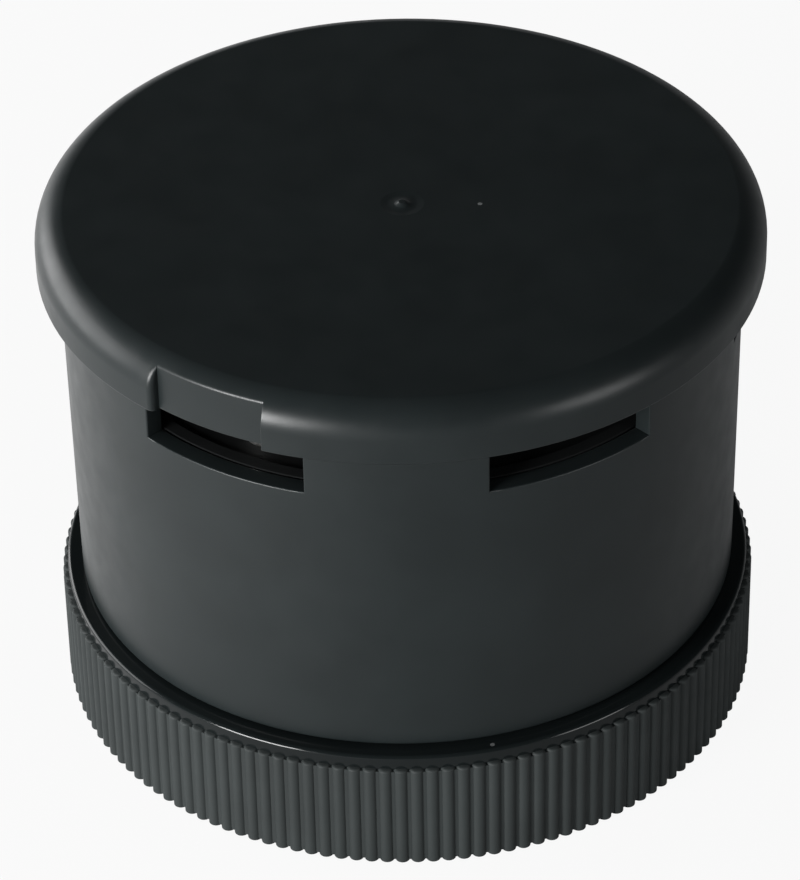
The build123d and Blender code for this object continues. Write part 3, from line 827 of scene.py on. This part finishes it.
board_laminate, tree, shader, green = lacquered(
    "board_laminate", (0.02, 0.13, 0.05), (0.03, 0.17, 0.07), size=4.0, roughness=0.35, coat=0.4
)
weave = maths(tree, "MULTIPLY", ridges(tree, WEAVE, "X"), ridges(tree, WEAVE, "Y"))
edge_low, edge_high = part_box("circuit_board")
middle = (edge_low.z + edge_high.z) / 2 / MM
bare_edge = near(tree, height_of(tree), middle, (edge_high.z - edge_low.z) / 2 / MM - LACQUER)
marked(tree, shader, green, bare_edge, (0.42, 0.4, 0.22))
bumped(tree, shader, weave, 0.01)
dress("circuit_board", board_laminate)
softened("board_screws", screw_steel, width=0.06)

RESIN = [(0.012, 0.012, 0.013), (0.02, 0.02, 0.021), 1.5]
chip_resin, tree, shader, _ = lacquered("chip_resin", *RESIN, roughness=0.55)
bumped(tree, shader, noise(tree, 0.08), 0.004)
for name in ("driver_chip", "bridge_rectifier", "transistor"):
    dress(name, chip_resin)
for k in range(2):
    low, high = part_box(f"diode_{k + 1}")
    banded, tree, shader, resin = lacquered(f"diode_resin_{k + 1}", *RESIN, roughness=0.5)
    long_axis = "X" if high.x - low.x > high.y - low.y else "Y"
    stripe = getattr(low, long_axis.lower()) / MM + STRIPE_INSET
    mask = near(tree, height_of(tree, long_axis), stripe, BAND_WIDTH)
    marked(tree, shader, resin, mask, (0.5, 0.5, 0.5))
    bumped(tree, shader, noise(tree, 0.08), 0.004)
    dress(f"diode_{k + 1}", banded)

for name in ("capacitor_large", "capacitor_small"):
    sleeve, tree, shader, blue = lacquered(
        name + "_sleeve", (0.012, 0.018, 0.05), (0.016, 0.023, 0.06), size=3.0, roughness=0.3,
        coat=0.3,
    )
    bare_top = maths(tree, "GREATER_THAN", height_of(tree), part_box(name)[1].z / MM - 0.02)
    marked(tree, shader, blue, bare_top, (0.7, 0.7, 0.7))
    tree.links.new(bare_top, shader.inputs["Metallic"])
    bumped(tree, shader, stretched(tree, 0.6, "Z", share=4.0), 0.01)
    dress(name, sleeve)

ferrite, tree, shader, _ = lacquered(
    "ferrite", (0.03, 0.03, 0.032), (0.05, 0.05, 0.053), size=0.4, roughness=0.6
)
bumped(tree, shader, noise(tree, 0.15, detail=4.0), 0.01)
dress("coil_core", ferrite)
copper_wire, tree, shader, _ = lacquered(
    "copper_wire", (0.6, 0.2, 0.08), (0.5, 0.15, 0.06), size=1.0, roughness=0.3
)
shader.inputs["Metallic"].default_value = 1.0
bumped(tree, shader, ridges(tree, 0.3, "Z"), 0.05)
dress("coil_winding", copper_wire)
varistor_coat, tree, shader, _ = lacquered(
    "varistor_coat", (0.02, 0.08, 0.32), (0.025, 0.1, 0.38), size=2.0, roughness=0.25, coat=0.5
)
bumped(tree, shader, noise(tree, 1.2), 0.03)
dress("varistor", varistor_coat)

BANDS = [
    (-1.5, (0.35, 0.12, 0.03)),
    (-0.6, (0.01, 0.01, 0.01)),
    (0.3, (0.6, 0.05, 0.02)),
    (1.6, (0.6, 0.42, 0.08)),
]
for k in range(4):
    low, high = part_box(f"resistor_{k + 1}")
    centre = (low.y + high.y) / 2 / MM
    coat, tree, shader, coloured = lacquered(
        f"resistor_coat_{k + 1}", (0.55, 0.4, 0.22), (0.6, 0.45, 0.26), size=0.8, roughness=0.35,
        coat=0.3,
    )
    for offset, paint in BANDS:
        mask = near(tree, height_of(tree, "Y"), centre + offset, BAND_WIDTH / 2)
        coloured = blend(tree, mask, coloured, rgba(paint))
    tree.links.new(coloured, shader.inputs["Base Color"])
    bumped(tree, shader, noise(tree, 0.5), 0.01)
    dress(f"resistor_{k + 1}", coat)

# ---------------------------------------------------------------- sounder
# The sounder is a brass diaphragm with a silvered ceramic disc on it, seated on silicone in a
# case under a port plate. A baffle closes the housing above it, behind the sound slots.
seat_silicone, tree, shader, _ = lacquered(
    "seat_silicone", (0.62, 0.62, 0.6), (0.7, 0.7, 0.68), size=1.5, roughness=0.5
)
bumped(tree, shader, noise(tree, 0.4), 0.01)
piezo_ceramic, tree, shader, _ = lacquered(
    "piezo_ceramic", (0.72, 0.71, 0.68), (0.8, 0.79, 0.76), size=2.0, roughness=0.4
)
bumped(tree, shader, noise(tree, 0.12, detail=3.0), 0.004)
for name, colour in (("lead_red", (0.5, 0.015, 0.012)), ("lead_black", (0.012, 0.012, 0.012))):
    paler = [c * 1.25 for c in colour]
    insulation, tree, shader, _ = lacquered(name, colour, paler, size=1.2, roughness=0.35)
    bumped(tree, shader, noise(tree, 0.3), 0.006)
    dress(name, insulation)
dress("sounder_case", carrier_plastic)
dress("port_plate", carrier_plastic)
dress("diaphragm_seat", seat_silicone)
dress("diaphragm", contact_brass)
dress("ceramic_disc", piezo_ceramic)
dress("baffle_gasket", seal_rubber)
softened("baffle", carrier_plastic, width=0.12)
softened("baffle_screws", screw_steel, width=0.06)

# ---------------------------------------------------------------- set, lamps and camera
# A sheet of white paper lies under the horn in a white room. The key lamp stands low on the left
# like a window, a second one fills the far left, and a weak one lights the right side.


def gloss_of(tree, rays):
    """1 where a ray comes from a reflection or through glass."""
    seen = [rays.outputs[f"Is {kind} Ray"] for kind in ("Glossy", "Transmission")]
    return maths(tree, "MAXIMUM", *seen)


def seen_white(name, colour, camera_lift, painted_gloss_lifts, shade):
    """White paper: shares of what the camera and what the gloss see are full white.

    The gloss sees painted light and shade on the paper: a share for the window's side, painted
    brighter, and one for the far side, painted darker, going from the first to the second over
    the stretch of X that shade gives in millimetres.
    """
    material = bpy.data.materials.new(name)
    material.use_nodes = True
    tree = material.node_tree
    tree.nodes.clear()
    rays = tree.nodes.new("ShaderNodeLightPath")
    gloss = gloss_of(tree, rays)
    to_camera = maths(tree, "MULTIPLY", rays.outputs["Is Camera Ray"], camera_lift)
    across = add(tree, "SeparateXYZ", Vector=place_of(tree)).outputs["X"]
    # Painted light and shade: the paper seen in reflections is brighter on the window's side and
    # darker on the far side.
    painted_light_across = spread(tree, across, shade[0] * MM, shade[1] * MM, *painted_gloss_lifts)
    lift = maths(tree, "ADD", to_camera, maths(tree, "MULTIPLY", gloss, painted_light_across))
    paper = add(tree, "BsdfDiffuse", Color=rgba(colour))
    glow = add(tree, "Emission", Color=rgba((1, 1, 1)), Strength=1.0)
    mix = add(tree, "MixShader", Fac=lift)
    tree.links.new(paper.outputs[0], mix.inputs[1])
    tree.links.new(glow.outputs[0], mix.inputs[2])
    add(tree, "OutputMaterial", Surface=mix.outputs[0])
    return material


bpy.ops.mesh.primitive_plane_add(size=6.0, location=(0, 0, 0))
floor = bpy.context.object
floor.name = "floor"
# In reflections the paper is painted lighter on the left and darker on the right.
floor.data.materials.append(
    seen_white(
        "floor_paper", (0.4, 0.4, 0.4), camera_lift=0.92, painted_gloss_lifts=(0.95, 0.05), shade=(-60, 0)
    )
)

world = bpy.data.worlds.new("studio")
scene.world = world
world.use_nodes = True
tree = world.node_tree
tree.nodes.clear()
up = add(tree, "SeparateXYZ", Vector=tree.nodes.new("ShaderNodeTexCoord").outputs["Generated"])
SKY_TOP = 0.35
DARK_LEVEL = 0.03
SIDES = (-0.6, 0.6)
RIGHT_SHARE = 0.2
AMBIENT = 0.3
sky = spread(tree, up.outputs["Z"], 0.0, SKY_TOP, 1.0, DARK_LEVEL)
sky = maths(tree, "MULTIPLY", sky, spread(tree, up.outputs["X"], *SIDES, 1.0, RIGHT_SHARE))
rays = tree.nodes.new("ShaderNodeLightPath")
gloss = gloss_of(tree, rays)
other = maths(tree, "MULTIPLY", maths(tree, "SUBTRACT", 1.0, gloss), AMBIENT)
level = maths(tree, "ADD", maths(tree, "MULTIPLY", gloss, sky), other)
level = maths(tree, "MAXIMUM", level, rays.outputs["Is Camera Ray"])
white = add(tree, "Background", Color=(0.95, 0.98, 1.0, 1.0), Strength=level)
add(tree, "OutputWorld", Surface=white.outputs[0])

LIT_POINT = Vector((0, 0, 0.03))


def softbox(name, azimuth, elevation, distance, size, power):
    """Area lamp turned to the horn's middle, with its distance from the foot in metres."""
    lamp = bpy.data.lights.new(name, "AREA")
    lamp.shape = "RECTANGLE"
    lamp.size, lamp.size_y = size
    lamp.energy = power
    made = bpy.data.objects.new(name, lamp)
    scene.collection.objects.link(made)
    flat = distance * cos(radians(elevation))
    place = at(flat / MM, azimuth, distance * sin(radians(elevation)) / MM)
    made.location = place
    made.rotation_mode = "QUATERNION"
    made.rotation_quaternion = (LIT_POINT - place).to_track_quat("-Z", "Y")


softbox("window", azimuth=-46, elevation=13, distance=0.7, size=(0.3, 0.26), power=9.0)
softbox("left", azimuth=-112, elevation=14, distance=0.6, size=(0.6, 0.4), power=3.8)
softbox("right", azimuth=55, elevation=12, distance=0.8, size=(0.3, 0.3), power=1.8)

camera = bpy.data.objects.new("camera", bpy.data.cameras.new("camera"))
scene.collection.objects.link(camera)
eye = Vector((0, -350.007, 285.952)) * MM
aim = Vector((-0.488, 0, 24.964)) * MM
LENS_ROLL = radians(-1.199)
camera.location = eye
camera.rotation_mode = "QUATERNION"
upright = (aim - eye).to_track_quat("-Z", "Y")
camera.rotation_quaternion = upright @ Quaternion((0, 0, 1), LENS_ROLL)
camera.data.lens = 180.05
camera.data.sensor_width = 36.0
camera.data.clip_start = 0.01
scene.camera = camera
scene.view_settings.view_transform = "Standard"
